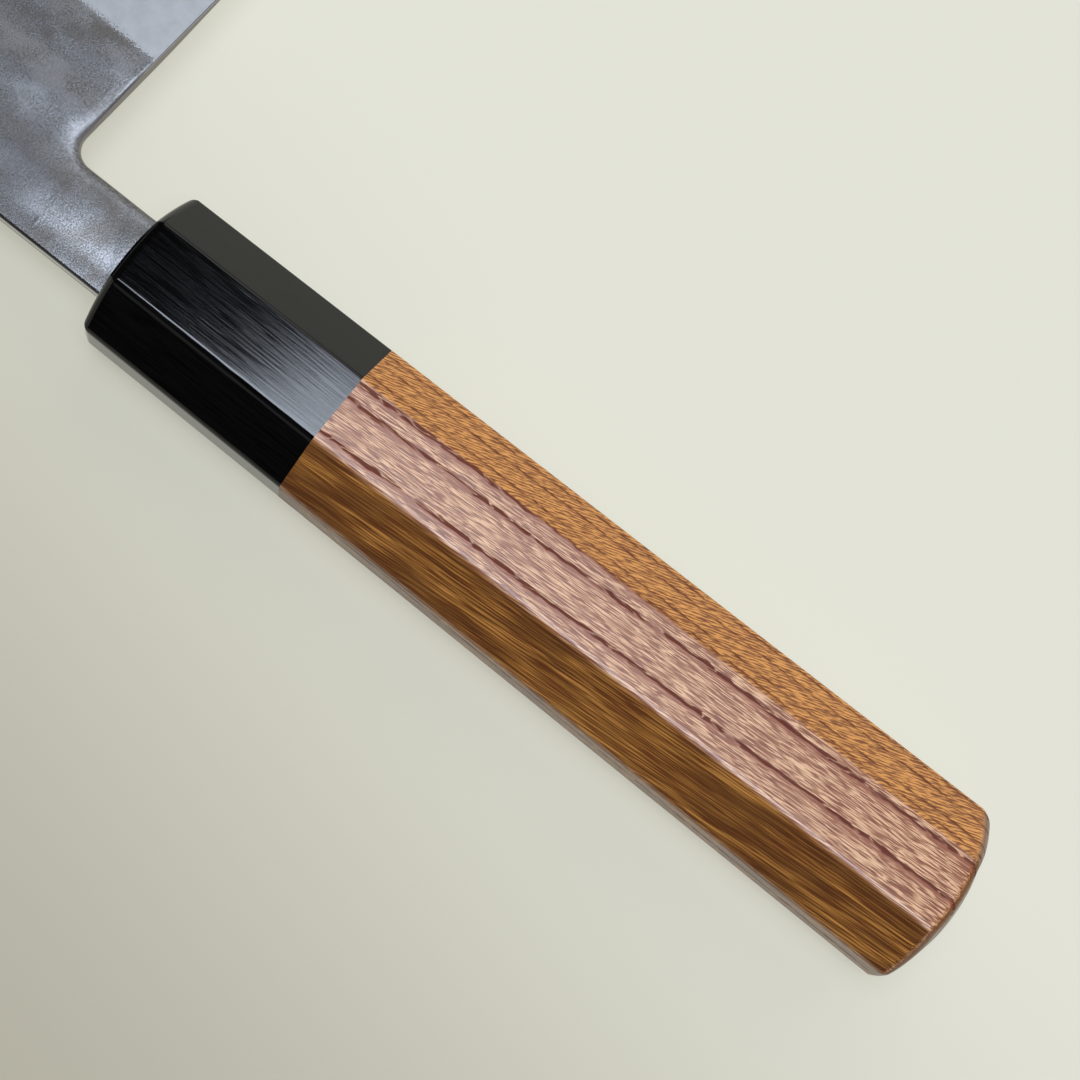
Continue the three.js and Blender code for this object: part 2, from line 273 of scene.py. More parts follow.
# %% [markdown]
# ## Crowning an end
# The end of the bar is gathered in steps towards its middle, by extruding its face on the spot and
# drawing each new ring in. Then every point of those rings is lifted onto the crown: a shallow dome
# that rolls over into the facets by a small radius, as the sanding belt leaves it.

# %% Crown an end of the bar
EDGE_ROWS = 7
CROWN_SHARES = (0.78, 0.56, 0.34, 0.14)
EDGE_CUTS = 7
CORNER_POWER = 3


def reach(y, z, x):
    """How far the octagon's outline at x lies from the centre line, in the direction of (y, z)."""
    half_height = height_at(x) / 2
    half_thick = thickness_at(x) / 2
    half_side = half_height * BUTT_SIDE_FACET_MM / BUTT_HEIGHT_MM
    half_spine = half_thick * BUTT_SPINE_FACET_MM / BUTT_THICK_MM
    slant = Vector((half_thick - half_spine, half_height - half_side)).normalized()
    slant_reach = slant.dot(Vector((half_height, half_spine)))
    length = math.hypot(y, z)
    across, up = abs(y) / length, abs(z) / length
    walls = [(across, half_height), (up, half_thick), (slant.dot((across, up)), slant_reach)]
    return min(distance / lean for lean, distance in walls if lean > 0)


def crown(bar, end, outward, dome, rise=0.0, corner=0.0):
    """Domes the end of a bar that faces along X, outward being 1 or -1.

    The dome's top lies `rise` millimetres from the centre line towards the spine. The rolled edge is
    `corner` millimetres larger on the side of the cutting edge.
    """
    end_x = place(end, 0, 0).x
    at_end = lambda item: all(abs(vert.co.x - end_x) < AT_END for vert in item.verts)
    pick(bar, "edges", lambda edge: at_end(edge) and edge.calc_length() > EASE_MM * 2 * MM)
    bpy.ops.mesh.subdivide(number_cuts=EDGE_CUTS)
    pick(bar, "faces", at_end)
    typical = (BUTT_HEIGHT_MM + BUTT_THICK_MM) / 4
    turns = [math.pi / 2 * (row + 1) / EDGE_ROWS for row in range(EDGE_ROWS)]
    shares = [1 - END_EDGE_MM * (1 - math.cos(turn)) / typical for turn in turns]
    now = 1.0
    for share in [*shares, *CROWN_SHARES]:
        bpy.ops.mesh.extrude_region_move()
        draw = share / now
        bpy.ops.transform.resize(value=(1, draw, draw), center_override=ORIGIN)
        now = share
    leave_edit_mode()
    for vert in bar.data.vertices:
        if abs(vert.co.x - end_x) < AT_END:
            _, y, z = (vert.co - ORIGIN) / MM
            radius = math.hypot(y, z)
            edge = reach(y, z, end)
            curve = END_EDGE_MM + corner * max(0.0, -y / radius) ** CORNER_POWER
            inset = max(0.0, min(edge - radius, curve))
            inner = min(radius, edge - curve) / radius
            drop = dome - math.sqrt(dome**2 - (y * inner - rise) ** 2 - (z * inner) ** 2)
            roll = curve * (1 - math.sqrt(1 - (1 - inset / curve) ** 2))
            x = end - outward * (drop + roll)
            tall = height_at(x) / height_at(end)
            thick = thickness_at(x) / thickness_at(end)
            vert.co = place(x, y * tall, z * thick)


# %% [markdown]
# ## The grip
# The grip runs from the joint back to the butt. It is drilled for the dowel that joins it to the
# ferrule, so the wood is real wood with a real hole, also where no one sees it.

# %% Grip
dowel_low, dowel_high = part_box("handle_dowel")
GLUE_LINE_MM = 0.15
SEAT_GAP_MM = 0.3
DRILL_POINT = math.radians(118)
BORE_SIDES = 48
CUT_MARGIN_MM = 1.0
FACING = 0.9
BORE_RADIUS_MM = (dowel_high.y - dowel_low.y) / 2 / MM + GLUE_LINE_MM
BORE_END_MM = (dowel_low.x - ORIGIN.x) / MM - SEAT_GAP_MM


def drill(start, end):
    """A round bore tool along the centre line, from start to end."""
    select_none()
    bpy.ops.mesh.primitive_cylinder_add(
        vertices=BORE_SIDES,
        radius=BORE_RADIUS_MM * MM,
        depth=(end - start) * MM,
        location=place((start + end) / 2, 0, 0),
        rotation=(0, math.pi / 2, 0),
    )
    return settle("bore_tool")


def sharpen(tool):
    """Draws the rear end of a bore tool out to the point of a twist drill."""
    length = BORE_RADIUS_MM / math.tan(DRILL_POINT / 2) * MM
    pick(tool, "faces", lambda face: face.normal.x < -FACING)
    bpy.ops.mesh.extrude_region_move(TRANSFORM_OT_translate={"value": (-length, 0, 0)})
    bpy.ops.mesh.merge(type="COLLAPSE")
    leave_edit_mode()
    return tool


grip = octagon_bar("grip", 0, JOINT_MM)
crown(grip, 0, -1, BUTT_DOME_MM, BUTT_DOME_RISE_MM, BUTT_CORNER_MM)
cut_away(grip, sharpen(drill(BORE_END_MM, JOINT_MM + CUT_MARGIN_MM)))
settle_normals(grip)
print("grip faces:", len(grip.data.polygons))

# %% [markdown]
# ## The ferrule
# The dark front of the handle continues the grip's facets without a step. It is bored from behind for
# the same dowel, and a slot in its crowned front lets the neck of the blade through.

# %% Ferrule
seal_low, seal_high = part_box("mouth_seal")
ferrule = octagon_bar("ferrule_polished", JOINT_MM, HANDLE_MM)
crown(ferrule, HANDLE_MM, 1, FRONT_DOME_MM)
front_wall = (seal_low.x - ORIGIN.x) / MM
cut_away(ferrule, drill(JOINT_MM - CUT_MARGIN_MM, front_wall))
slot_low = (seal_low - ORIGIN) / MM
slot_high = (seal_high - ORIGIN) / MM
mouth_low = (front_wall - CUT_MARGIN_MM, slot_low.y, slot_low.z)
mouth_high = (HANDLE_MM + CUT_MARGIN_MM, slot_high.y, slot_high.z)
cut_away(ferrule, new_box("mouth_tool", mouth_low, mouth_high))
settle_normals(ferrule)
print("ferrule faces:", len(ferrule.data.polygons))

# %% [markdown]
# ## The blade's three layers
# The blade is a hard core between two soft claddings. The CAD layers have the right outline and
# taper, but they are perfectly true. A forged face is not: the hammer leaves it gently uneven, and the
# maker eases the choil, the notch behind the heel. So each layer is copied and its loose triangles are
# merged into broad faces; the claddings' faces are then cut into a fine net that can be moved.

# %% Copy a layer and cut a net into it
core_low, core_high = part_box("blade_core")
HEEL_LOW_MM = (core_low.y - ORIGIN.y) / MM
TIP_MM = (core_high.x - ORIGIN.x) / MM
CHOIL_NET_MM = 0.25
NECK_NET_MM = 0.6
BLADE_NET_MM = 2.4
CHOIL_X_MM = (140.0, 149.5)
CHOIL_Y_MM = (-10.5, -3.5)
NECK_REACH_MM = 160.0
NET_TOP_MM = 5.5
MERGE_ANGLE = math.radians(0.02)
FLAT_ANGLE = math.radians(1.0)
SAME_POINT = 1e-6
NEAR = 1e-5
LEVEL = 0.8
SLIVER_MM2 = 0.006


def copy_layer(node, name):
    """A copy of a CAD layer with its triangles merged into broad flat faces."""
    only(nodes[node])
    bpy.ops.object.duplicate()
    layer = bpy.context.object
    layer.name = name
    layer.parent = None
    for key in list(layer.keys()):
        del layer[key]
    bpy.ops.object.mode_set(mode="EDIT")
    bpy.ops.mesh.select_all(action="SELECT")
    bpy.ops.mesh.remove_doubles(threshold=SAME_POINT)
    bpy.ops.mesh.dissolve_limited(angle_limit=MERGE_ANGLE)
    leave_edit_mode()
    return layer


def steps(start, end, step):
    """Evenly spaced values from start to end."""
    count = max(1, round((end - start) / step))
    return [start + (end - start) * i / count for i in range(count + 1)]


def spread(marks):
    """Values over several ranges in a row, from (end, step) marks that follow a first value."""
    values = [marks[0]]
    for end, step in marks[1:]:
        values += steps(values[-1], end, step)[1:]
    return values


def slanting(edge):
    """True for an edge in a flat face, or beside a sliver of it, that follows no line of the net."""
    along, across, _ = edge.verts[0].co - edge.verts[1].co
    if len(edge.link_faces) != 2 or abs(along) < NEAR or abs(across) < NEAR:
        return False
    sliver = min(face.calc_area() for face in edge.link_faces) < SLIVER_MM2 * MM**2
    level = min(abs(face.normal.z) for face in edge.link_faces) > LEVEL
    return edge.calc_face_angle() < FLAT_ANGLE or (sliver and level)


def cut_net(layer):
    """Slices the layer crosswise and lengthwise, finely round the neck and the choil."""
    along = [(CHOIL_X_MM[0], NECK_NET_MM), (CHOIL_X_MM[1], CHOIL_NET_MM)]
    along += [(NECK_REACH_MM, NECK_NET_MM), (TIP_MM - BLADE_NET_MM, BLADE_NET_MM)]
    across = [(CHOIL_Y_MM[0], 2 * NECK_NET_MM), (CHOIL_Y_MM[1], CHOIL_NET_MM)]
    across += [(NET_TOP_MM, NECK_NET_MM)]
    crosswise = spread([HANDLE_MM, *along])
    lengthwise = spread([HEEL_LOW_MM + NECK_NET_MM, *across])
    cuts = [(place(x, 0, 0), (1, 0, 0)) for x in crosswise]
    cuts += [(place(0, y, 0), (0, 1, 0)) for y in lengthwise]
    only(layer)
    bpy.ops.object.mode_set(mode="EDIT")
    for point, normal in cuts:
        bpy.ops.mesh.select_all(action="SELECT")
        bpy.ops.mesh.bisect(plane_co=point, plane_no=normal)
    pick(layer, "edges", slanting)
    bpy.ops.mesh.dissolve_edges(use_verts=True)
    bpy.ops.mesh.select_all(action="SELECT")
    bpy.ops.mesh.dissolve_degenerate(threshold=NEAR)
    bpy.ops.mesh.select_mode(type="FACE")
    bpy.ops.mesh.select_all(action="DESELECT")
    bpy.ops.mesh.select_face_by_sides(number=4, type="GREATER")
    bpy.ops.mesh.quads_convert_to_tris(ngon_method="BEAUTY")
    leave_edit_mode()


right_cladding = copy_layer("blade_cladding_right", "right_cladding_forged")
cut_net(right_cladding)
left_cladding = copy_layer("blade_cladding_left", "left_cladding_forged")
cut_net(left_cladding)
core = copy_layer("blade_core", "core_ground")
print("cladding faces:", len(right_cladding.data.polygons), "core faces:", len(core.data.polygons))

# %% [markdown]
# ## The forged face
# Light from a soft window shows how uneven a forged face is: shallow valleys run along the blade from
# the neck, and the steel falls away where the choil was eased for the finger. The net is moved by
# about a tenth of a millimetre at most, and more only at the choil's rolled edge. Each layer's
# thickness is stretched in place, so the flat face that meets the core stays flat, and the ground bevel
# below stays true.

# %% Choil and bevel lines, from the same sizes as the blade's outline
NECK_LENGTH_MM = 14.5
CHOIL_TOP_MM = HANDLE_MM + NECK_LENGTH_MM
NECK_LOW_MM = -6.0
CHOIL_RADIUS_MM = 3.0
CHOIL_LEAN = math.radians(2.7)
HEEL_MM = CHOIL_TOP_MM - math.tan(CHOIL_LEAN) * (NECK_LOW_MM - HEEL_LOW_MM)
BLADE_MM = TIP_MM - HEEL_MM
EDGE_RISE_MM = 7.5
EDGE_POWER = 2.6
HEEL_BEVEL_MM = 18.9
TIP_BEVEL_MM = 15.0
SPINE_DROP_MM = 2.2
CLIP_LENGTH_MM = 34.0
CORE_HALF_MM = (core_high.z - core_low.z) / 2 / MM


def bevel_line(x):
    """Height of the line where the forged face ends and the ground bevel starts."""
    along = max(0.0, x - HEEL_MM) / BLADE_MM
    edge = HEEL_LOW_MM + EDGE_RISE_MM * along**EDGE_POWER
    return edge + HEEL_BEVEL_MM + (TIP_BEVEL_MM - HEEL_BEVEL_MM) * along


def spine_line(x):
    """Height of the spine, which drops in a long curve from the neck to the angled tip."""
    start = CHOIL_TOP_MM - CHOIL_RADIUS_MM
    share = max(0.0, x - start) / (TIP_MM - CLIP_LENGTH_MM - start)
    return -NECK_LOW_MM - SPINE_DROP_MM * share**2


CHOIL_SET_BACK = (1 + math.sin(CHOIL_LEAN)) / math.cos(CHOIL_LEAN)
CHOIL_X_CENTRE_MM = CHOIL_TOP_MM - CHOIL_RADIUS_MM * CHOIL_SET_BACK
CHOIL_Y_CENTRE_MM = NECK_LOW_MM - CHOIL_RADIUS_MM


def choil_distance(x, y):
    """Distance into the steel from the neck's lower edge, the choil's round or its straight."""
    leaned = x + math.tan(CHOIL_LEAN) * max(0.0, CHOIL_Y_CENTRE_MM - y)
    along = max(0.0, leaned - CHOIL_X_CENTRE_MM)
    across = max(0.0, y - CHOIL_Y_CENTRE_MM)
    return math.hypot(along, across) - CHOIL_RADIUS_MM


print("heel", round(HEEL_MM, 2), "mm from the butt, blade", round(BLADE_MM, 2), "mm long")

# %% Move the net
VALLEY_PITCH_MM = 10.0
VALLEY_CREST_MM = -13.0
VALLEY_DEPTH_MM = 0.043
DRIFT_SIZE_MM = (18.0, 30.0)
DRIFT_MM = VALLEY_PITCH_MM / 3
DENT_SIZE_MM = 7.0
DENT_DEPTH_MM = 0.06
DENT_SEED = 5.0
CALM_SHARE = 0.6
CALM_OVER_MM = 60.0
BEVEL_TRUE_MM = (0.0, 5.0)
SPINE_TRUE_MM = (0.4, 3.0)
CHOIL_FALL_MM = 0.10
CHOIL_FALL_WIDTH_MM = 2.1
EDGE_ROLL_MM = 0.5
EDGE_ROLL_WIDTH_MM = 1.15
EDGE_ROLL_POWER = 2.2
STRAIGHT_ROLL = 0.4
HELD_MM = (-14.5, -8.0)
ROLLED_MM = (-23.0, -17.0)
MOUTH_MM = (HANDLE_MM - 1.0, HANDLE_MM + 1.0)
FULL_DEPTH_MM = 0.6
CLADDING_ANGLE = 30
CORE_ANGLE = 4


def smooth_step(low, high, value):
    """0 below low, 1 above high, and a smooth ramp between."""
    share = min(1.0, max(0.0, (value - low) / (high - low)))
    return share * share * (3 - 2 * share)


def forge(layer, side, seed):
    """Makes one cladding uneven. side is 1 for the right one and -1 for the left one."""
    for vert in layer.data.vertices:
        x, y, z = (vert.co - ORIGIN) / MM
        depth = side * z - CORE_HALF_MM
        drift = noise.noise(Vector((x / DRIFT_SIZE_MM[0], y / DRIFT_SIZE_MM[1], seed))) * DRIFT_MM
        valley = math.sin(math.tau * (y - VALLEY_CREST_MM + drift) / VALLEY_PITCH_MM)
        near = 1 - CALM_SHARE * smooth_step(CHOIL_TOP_MM, CHOIL_TOP_MM + CALM_OVER_MM, x)
        dent = noise.noise(Vector((x / DENT_SIZE_MM, y / DENT_SIZE_MM, seed + DENT_SEED)))
        uneven = near * (VALLEY_DEPTH_MM * valley + DENT_DEPTH_MM * dent)
        uneven *= smooth_step(*BEVEL_TRUE_MM, y - bevel_line(x))
        uneven *= smooth_step(*SPINE_TRUE_MM, spine_line(x) - y)
        inside = max(0.0, choil_distance(x, y))
        held = smooth_step(*HELD_MM, y)
        fall = held * CHOIL_FALL_MM * math.exp(-((inside / CHOIL_FALL_WIDTH_MM) ** 2))
        eased = STRAIGHT_ROLL + (1 - STRAIGHT_ROLL) * held
        roll = max(0.0, 1 - inside / (eased * EDGE_ROLL_WIDTH_MM)) ** EDGE_ROLL_POWER
        roll *= eased * EDGE_ROLL_MM * smooth_step(*ROLLED_MM, y)
        shown = smooth_step(*MOUTH_MM, x) * depth / max(depth, FULL_DEPTH_MM)
        vert.co.z += side * shown * (uneven - fall - roll) * MM


forge(right_cladding, side=1, seed=2.0)
forge(left_cladding, side=-1, seed=11.0)
shade(right_cladding, CLADDING_ANGLE)
shade(left_cladding, CLADDING_ANGLE)
shade(core, CORE_ANGLE)
print("forged faces are uneven by up to", VALLEY_DEPTH_MM + DENT_DEPTH_MM, "mm")

# %% [markdown]
# ## Finishes
# Every finish is a small network of nodes. The helpers below add a node, wire what is a socket and set
# what is a number, so that each finish reads from top to bottom. A socket's `id_data` is the node tree
# that it belongs to, so a helper that is given a socket knows where to work. All patterns start from one
# group that turns Object coordinates into millimetres along, across and through the handle.

# %% Helpers: nodes and sums


def wire(socket, value):
    """Links a socket to a socket, or sets a plain value on it. A plain colour has no alpha."""
    if isinstance(value, bpy.types.NodeSocket):
        socket.id_data.links.new(value, socket)
    elif socket.type == "RGBA":
        socket.default_value = (*value, 1.0)
    else:
        socket.default_value = value


def add(tree, kind, inputs=None, **settings):
    """Adds a node, sets its options and wires its inputs."""
    node = tree.nodes.new(kind)
    for name, value in settings.items():
        setattr(node, name, value)
    for name, value in (inputs or {}).items():
        wire(node.inputs[name], value)
    return node


def feed(kind, inputs, **settings):
    """Adds a node to the tree of the sockets that feed it."""
    trees = [value.id_data for value in inputs.values() if isinstance(value, bpy.types.NodeSocket)]
    return add(trees[0], kind, inputs, **settings)


def calc(operation, *values):
    """A Math node's result."""
    return feed("ShaderNodeMath", dict(enumerate(values)), operation=operation).outputs[0]


def sums(operation):
    """A helper that works out one kind of sum with a Math node."""
    return lambda *values: calc(operation, *values)


plus, minus, times, ratio = map(sums, ("ADD", "SUBTRACT", "MULTIPLY", "DIVIDE"))
most, least = map(sums, ("MAXIMUM", "MINIMUM"))


def span(value, low, high, out_low=0.0, out_high=1.0, smooth=True):
    """Carries a range of values onto another range, clamped, with soft ends unless told not to."""
    inputs = {"Value": value, "From Min": low, "From Max": high, "To Min": out_low, "To Max": out_high}
    kind = "SMOOTHSTEP" if smooth else "LINEAR"
    return feed("ShaderNodeMapRange", inputs, interpolation_type=kind).outputs["Result"]


def mix(factor, first, second):
    """Mixes two values."""
    inputs = {"Factor": factor, "A": first, "B": second}
    return feed("ShaderNodeMix", inputs, data_type="FLOAT").outputs["Result"]


def blend(factor, first, second):
    """Mixes two colours."""
    inputs = {"Factor": factor, 6: first, 7: second}
    return feed("ShaderNodeMix", inputs, data_type="RGBA").outputs[2]


# %% Helpers: places and patterns
NOISE_RANGE = (0.3, 0.7)


def split(vector):
    """The three values of a vector, by the names of their axes."""
    return feed("ShaderNodeSeparateXYZ", {"Vector": vector}).outputs


def join(x, y, z):
    """A vector from three values."""
    return feed("ShaderNodeCombineXYZ", {"X": x, "Y": y, "Z": z}).outputs["Vector"]


def dot(vector, axis):
    """How far a place lies along an axis."""
    inputs = {0: vector, 1: axis}
    return feed("ShaderNodeVectorMath", inputs, operation="DOT_PRODUCT").outputs["Value"]


def ramp(value, stops, kind):
    """A colour ramp from (place, grey) stops."""
    node = feed("ShaderNodeValToRGB", {"Fac": value})
    node.color_ramp.interpolation = kind
    elements = node.color_ramp.elements
    while len(elements) < len(stops):
        elements.new(1.0)
    for element, (where, grey) in zip(elements, stops):
        element.position = where
        element.color = (grey, grey, grey, 1.0)
    return node.outputs["Color"]


def clouds(vector, detail, roughness):
    """Noise with features of about one unit, 0.5 on average and mostly within NOISE_RANGE."""
    inputs = {"Vector": vector, "Scale": 1.0, "Detail": detail, "Roughness": roughness}
    return feed("ShaderNodeTexNoise", inputs).outputs["Fac"]


def grain(vector, size, detail=2.0, roughness=0.5):
    """Such noise with features of the given size along each axis."""
    scale = tuple(1.0 / side for side in size)
    mapped = feed("ShaderNodeMapping", {"Vector": vector, "Scale": scale}).outputs["Vector"]
    return clouds(mapped, detail, roughness)


def swing(value, width):
    """Turns a noise of about 0.5 into a shift to both sides, width from end to end."""
    return times(minus(value, 0.5), width)


def new_material(name):
    """A material, its node tree and its Principled BSDF."""
    material = bpy.data.materials.new(name)
    material.use_nodes = True
    tree = material.node_tree
    return material, tree, tree.nodes["Principled BSDF"]


def surface(shader, colour, roughness, height, depth_mm):
    """Wires colour, roughness and a relief: a height between 0 and 1 that stands for a depth."""
    wire(shader.inputs["Base Color"], colour)
    wire(shader.inputs["Roughness"], roughness)
    inputs = {"Height": height, "Distance": depth_mm * MM, "Strength": 1.0}
    wire(shader.inputs["Normal"], feed("ShaderNodeBump", inputs).outputs["Normal"])


# %% Group: millimetres from the butt


def new_group(name, inputs, outputs):
    """A shader node group with float, vector or colour sockets, and its two end nodes."""
    tree = bpy.data.node_groups.new(name, "ShaderNodeTree")
    for direction, sockets in (("INPUT", inputs), ("OUTPUT", outputs)):
        for socket, kind in sockets.items():
            tree.interface.new_socket(socket, in_out=direction, socket_type="NodeSocket" + kind)
    return tree, tree.nodes.new("NodeGroupInput"), tree.nodes.new("NodeGroupOutput")


def use(tree, group):
    """Places a node group in a tree."""
    return add(tree, "ShaderNodeGroup", node_tree=group).outputs


def make_millimetres():
    tree, _, end = new_group("millimetres_from_butt", {}, {"Place": "Vector"})
    coordinates = add(tree, "ShaderNodeTexCoord").outputs["Object"]
    inputs = {"Vector": coordinates, "Scale": (1 / MM,) * 3, "Location": tuple(-ORIGIN / MM)}
    wire(end.inputs["Place"], feed("ShaderNodeMapping", inputs).outputs["Vector"])
    return tree


millimetres = make_millimetres()
print("group:", millimetres.name)

# %% [markdown]
# ## Fibre streaks
# The grip, the ferrule and the dowel are all wood, and wood is a bundle of fibres along its length.
# One group draws those fibres as very long thin noise: fine ones, and coarser ones that wander. Each
# wood places it with its own fibre length.

# %% Group: fibre streaks
FIBRE_LAYERS = {"Fine": (1.0, 1.0), "Coarse": (4.0, 2.0)}
FIBRE_ROUGHNESS = 0.55


def make_fibres():
    inputs = {"Place": "Vector", "Length": "Float", "Width": "Float"}
    tree, start, end = new_group("fibre_streaks", inputs, dict.fromkeys(FIBRE_LAYERS, "Float"))
    parts = split(start.outputs["Place"])
    along = ratio(parts["X"], start.outputs["Length"])
    for name, (thicker, detail) in FIBRE_LAYERS.items():
        width = times(start.outputs["Width"], thicker)
        across = ratio(parts["Y"], width)
        through = ratio(parts["Z"], width)
        streaks = clouds(join(along, across, through), detail, FIBRE_ROUGHNESS)
        wire(end.inputs[name], streaks)
    return tree


def fibres_at(place_mm, fibre):
    """The fine and the coarse streaks of a wood whose fibres have this length and width."""
    return feed("ShaderNodeGroup", {"Place": place_mm, **fibre}, node_tree=fibres).outputs


fibres = make_fibres()
print("group:", fibres.name)

# %% [markdown]
# ## The grip's wood
# The grip is a ring-porous hardwood, and it was sawn so that the growth rings lie flat under the facet
# on the upper spine side. One solid pattern then shows a different cut on each facet. The top facet
# crosses the rings at a slant: broken dark lines of open pores, each with a smooth dense band beside it
# and pale flecks between. The facet towards the edge runs along the rays: rows of short dashes with a
# slanted net between them. The facet towards the spine lies inside one dense ring, with thin golden
# streaks; it is darker partly for that and partly by painted shade, and the side wall towards the spine
# gets the same dark wood as painted shade. The fibres run slightly askew to the handle, so all streaks
# climb towards the butt. The crowned butt shows the ends of the fibres, so it is plain and brown.

# %% How the wood was sawn
RING_WAY = Vector((0, BUTT_THICK_MM - BUTT_SPINE_FACET_MM, BUTT_HEIGHT_MM - BUTT_SIDE_FACET_MM))
RING_WAY.normalize()
RAY_WAY = Vector((0, -RING_WAY.y, RING_WAY.z))
SLANT_REACH_MM = RING_WAY.dot((0, BUTT_HEIGHT_MM / 2, BUTT_SPINE_FACET_MM / 2))
SLANT_FRONT_MM = SLANT_REACH_MM * FRONT_HEIGHT_MM / BUTT_HEIGHT_MM
FACETS = {
    "rays": (RAY_WAY, SLANT_REACH_MM, SLANT_FRONT_MM),
    "rings": (RING_WAY, SLANT_REACH_MM, SLANT_FRONT_MM),
    "sides": ((0, 1, 0), BUTT_HEIGHT_MM / 2, FRONT_HEIGHT_MM / 2),
    "top": ((0, 0, 1), BUTT_THICK_MM / 2, FRONT_THICK_MM / 2),
}
FIBRE_LEAN = 0.06
FIBRE_FROM_MM = 50.0
WAVE_SIZE_MM = (8.0, 2.2, 2.2)
WAVE_MM = 0.28


def facet_depth(place_mm, way, butt, front):
    """Depth under the two facets that face along way and against it, from their reach at both ends."""
    reached = calc("ABSOLUTE", dot(place_mm, way))
    reached = plus(reached, dot(place_mm, ((butt - front) / HANDLE_MM, 0, 0)))
    return minus(butt, reached)


def fibre_place(place_mm):
    """The place with the fibres' lean and waviness taken out, so that fibres run along X."""
    parts = split(place_mm)
    lean = times(minus(parts["X"], FIBRE_FROM_MM), FIBRE_LEAN)
    wave = swing(grain(place_mm, WAVE_SIZE_MM), WAVE_MM)
    shift = minus(wave, lean)
    return join(parts["X"], plus(parts["Y"], shift), minus(parts["Z"], shift))


print("slanted facets lie", round(SLANT_REACH_MM, 2), "mm from the centre line at the butt")

# %% Pore lines and dense bands of the growth rings
RING_LINES_MM = (-13.0, -10.6, -8.1, -6.0, -3.6, -1.36, 2.1, 3.93, 5.49, 8.96)
RING_MARGIN_MM = 1.0
RING_DRIFT = 0.0133
RING_FROM_MM = 95.7
WANDER_SIZE_MM = (24.0, 5.0, 5.0)
WANDER_MM = 0.7
WIGGLE_SIZE_MM = (1.7, 0.7, 0.7)
WIGGLE_MM = 0.34
PORE_PROFILE = ((-0.25, 0.0), (0.0, 1.0), (0.25, 0.0))
DENSE_PROFILE = ((-0.05, 0.0), (0.12, 1.0), (0.75, 0.0))
PORE_RANGE = (0.12, 0.6)
PORE_LENGTH_MM = 6.0
PORE_LEAN = 0.031
PORE_JUMP_SIZE_MM = (9.0, 1.1, 1.1)
PORE_JUMP = 5.0
PORE_END = 0.16
DASH_SIZE_MM = (1.5, 0.6, 0.6)
DASH_RANGE = (0.42, 0.56, 0.3, 1.0)


def ring_ramps(ring):
    """Masks for the pore lines and for the dense bands, from the distance across the rings."""
    low = RING_LINES_MM[0] - RING_MARGIN_MM
    high = RING_LINES_MM[-1] + RING_MARGIN_MM
    share = span(ring, low, high, smooth=False)
    masks = []
    for profile in (PORE_PROFILE, DENSE_PROFILE):
        stops = [
            ((line + offset - low) / (high - low), value)
            for line in RING_LINES_MM
            for offset, value in profile
        ]
        masks.append(ramp(share, stops, "EASE"))
    return masks


def growth_rings(place_mm, flat_cut):
    """Pore lines, broken where one pore ends and the next begins, and the dense bands."""
    across = dot(place_mm, (-RING_DRIFT, RING_WAY.y, RING_WAY.z))
    across = plus(across, RING_DRIFT * RING_FROM_MM)
    wander = swing(grain(place_mm, WANDER_SIZE_MM), WANDER_MM)
    wiggle = swing(grain(place_mm, WIGGLE_SIZE_MM, detail=1.0), WIGGLE_MM)
    pore = ratio(split(place_mm)["X"], PORE_LENGTH_MM)
    pore = plus(pore, swing(grain(place_mm, PORE_JUMP_SIZE_MM), PORE_JUMP))
    pore = calc("FRACT", pore)
    slope = swing(pore, -PORE_LENGTH_MM * PORE_LEAN)
    ring = plus(plus(across, slope), plus(wander, wiggle))
    line, dense = ring_ramps(ring)
    line = span(line, *PORE_RANGE)
    ends = times(span(pore, 0.0, PORE_END), span(pore, 1 - PORE_END, 1.0, 1.0, 0.0))
    dashes = span(grain(place_mm, DASH_SIZE_MM, detail=1.0), *DASH_RANGE)
    return times(line, mix(flat_cut, ends, dashes)), dense


print("growth rings:", len(RING_LINES_MM))

# %% Flecks between the rings, in groups with smooth patches between
WOOD_GROUND = (0.36, 0.130, 0.047)
WOOD_PALE = (0.82, 0.48, 0.265)
WOOD_DARK = (0.23, 0.060, 0.021)
WOOD_DENSE = (0.31, 0.085, 0.032)
FLECK = {"Length": 6.0, "Width": 0.13}
PALE_RANGE = (0.49, 0.58)
DARK_RANGE = (0.46, 0.38)
GROUP_SIZE_MM = (5.0, 1.1, 1.1)
GROUP_RANGE = (0.34, 0.5, 0.55, 1.0)


def flecked_wood(along_fibre, thread, dense):
    """The colour of the flecked wood, and the mask of its pale flecks."""
    group = span(grain(along_fibre, GROUP_SIZE_MM), *GROUP_RANGE)
    group = times(group, minus(1.0, dense))
    pale = times(span(thread, *PALE_RANGE), group)
    dark = times(span(thread, *DARK_RANGE), group)
    colour = blend(dense, WOOD_GROUND, WOOD_DENSE)
    colour = blend(dark, colour, WOOD_DARK)
    return blend(pale, colour, WOOD_PALE), pale


# %% The slanted net of the rays
NET_CELL = (0.79, 0.345, 0.083)
NET_STROKE = (0.22, 0.057, 0.008)
NET_LEAN = math.radians(28)
NET_PITCH_MM = 0.5
NET_BEND_SIZE_MM = (1.6, 0.7, 2.0)
NET_BEND = 9.0
NET_BREAK_SIZE_MM = (1.5, 0.21, 2.0)
NET_STRIPE = 0.09
CELL_RANGE = (0.36, 0.64)
DENSE_CELL = 0.55


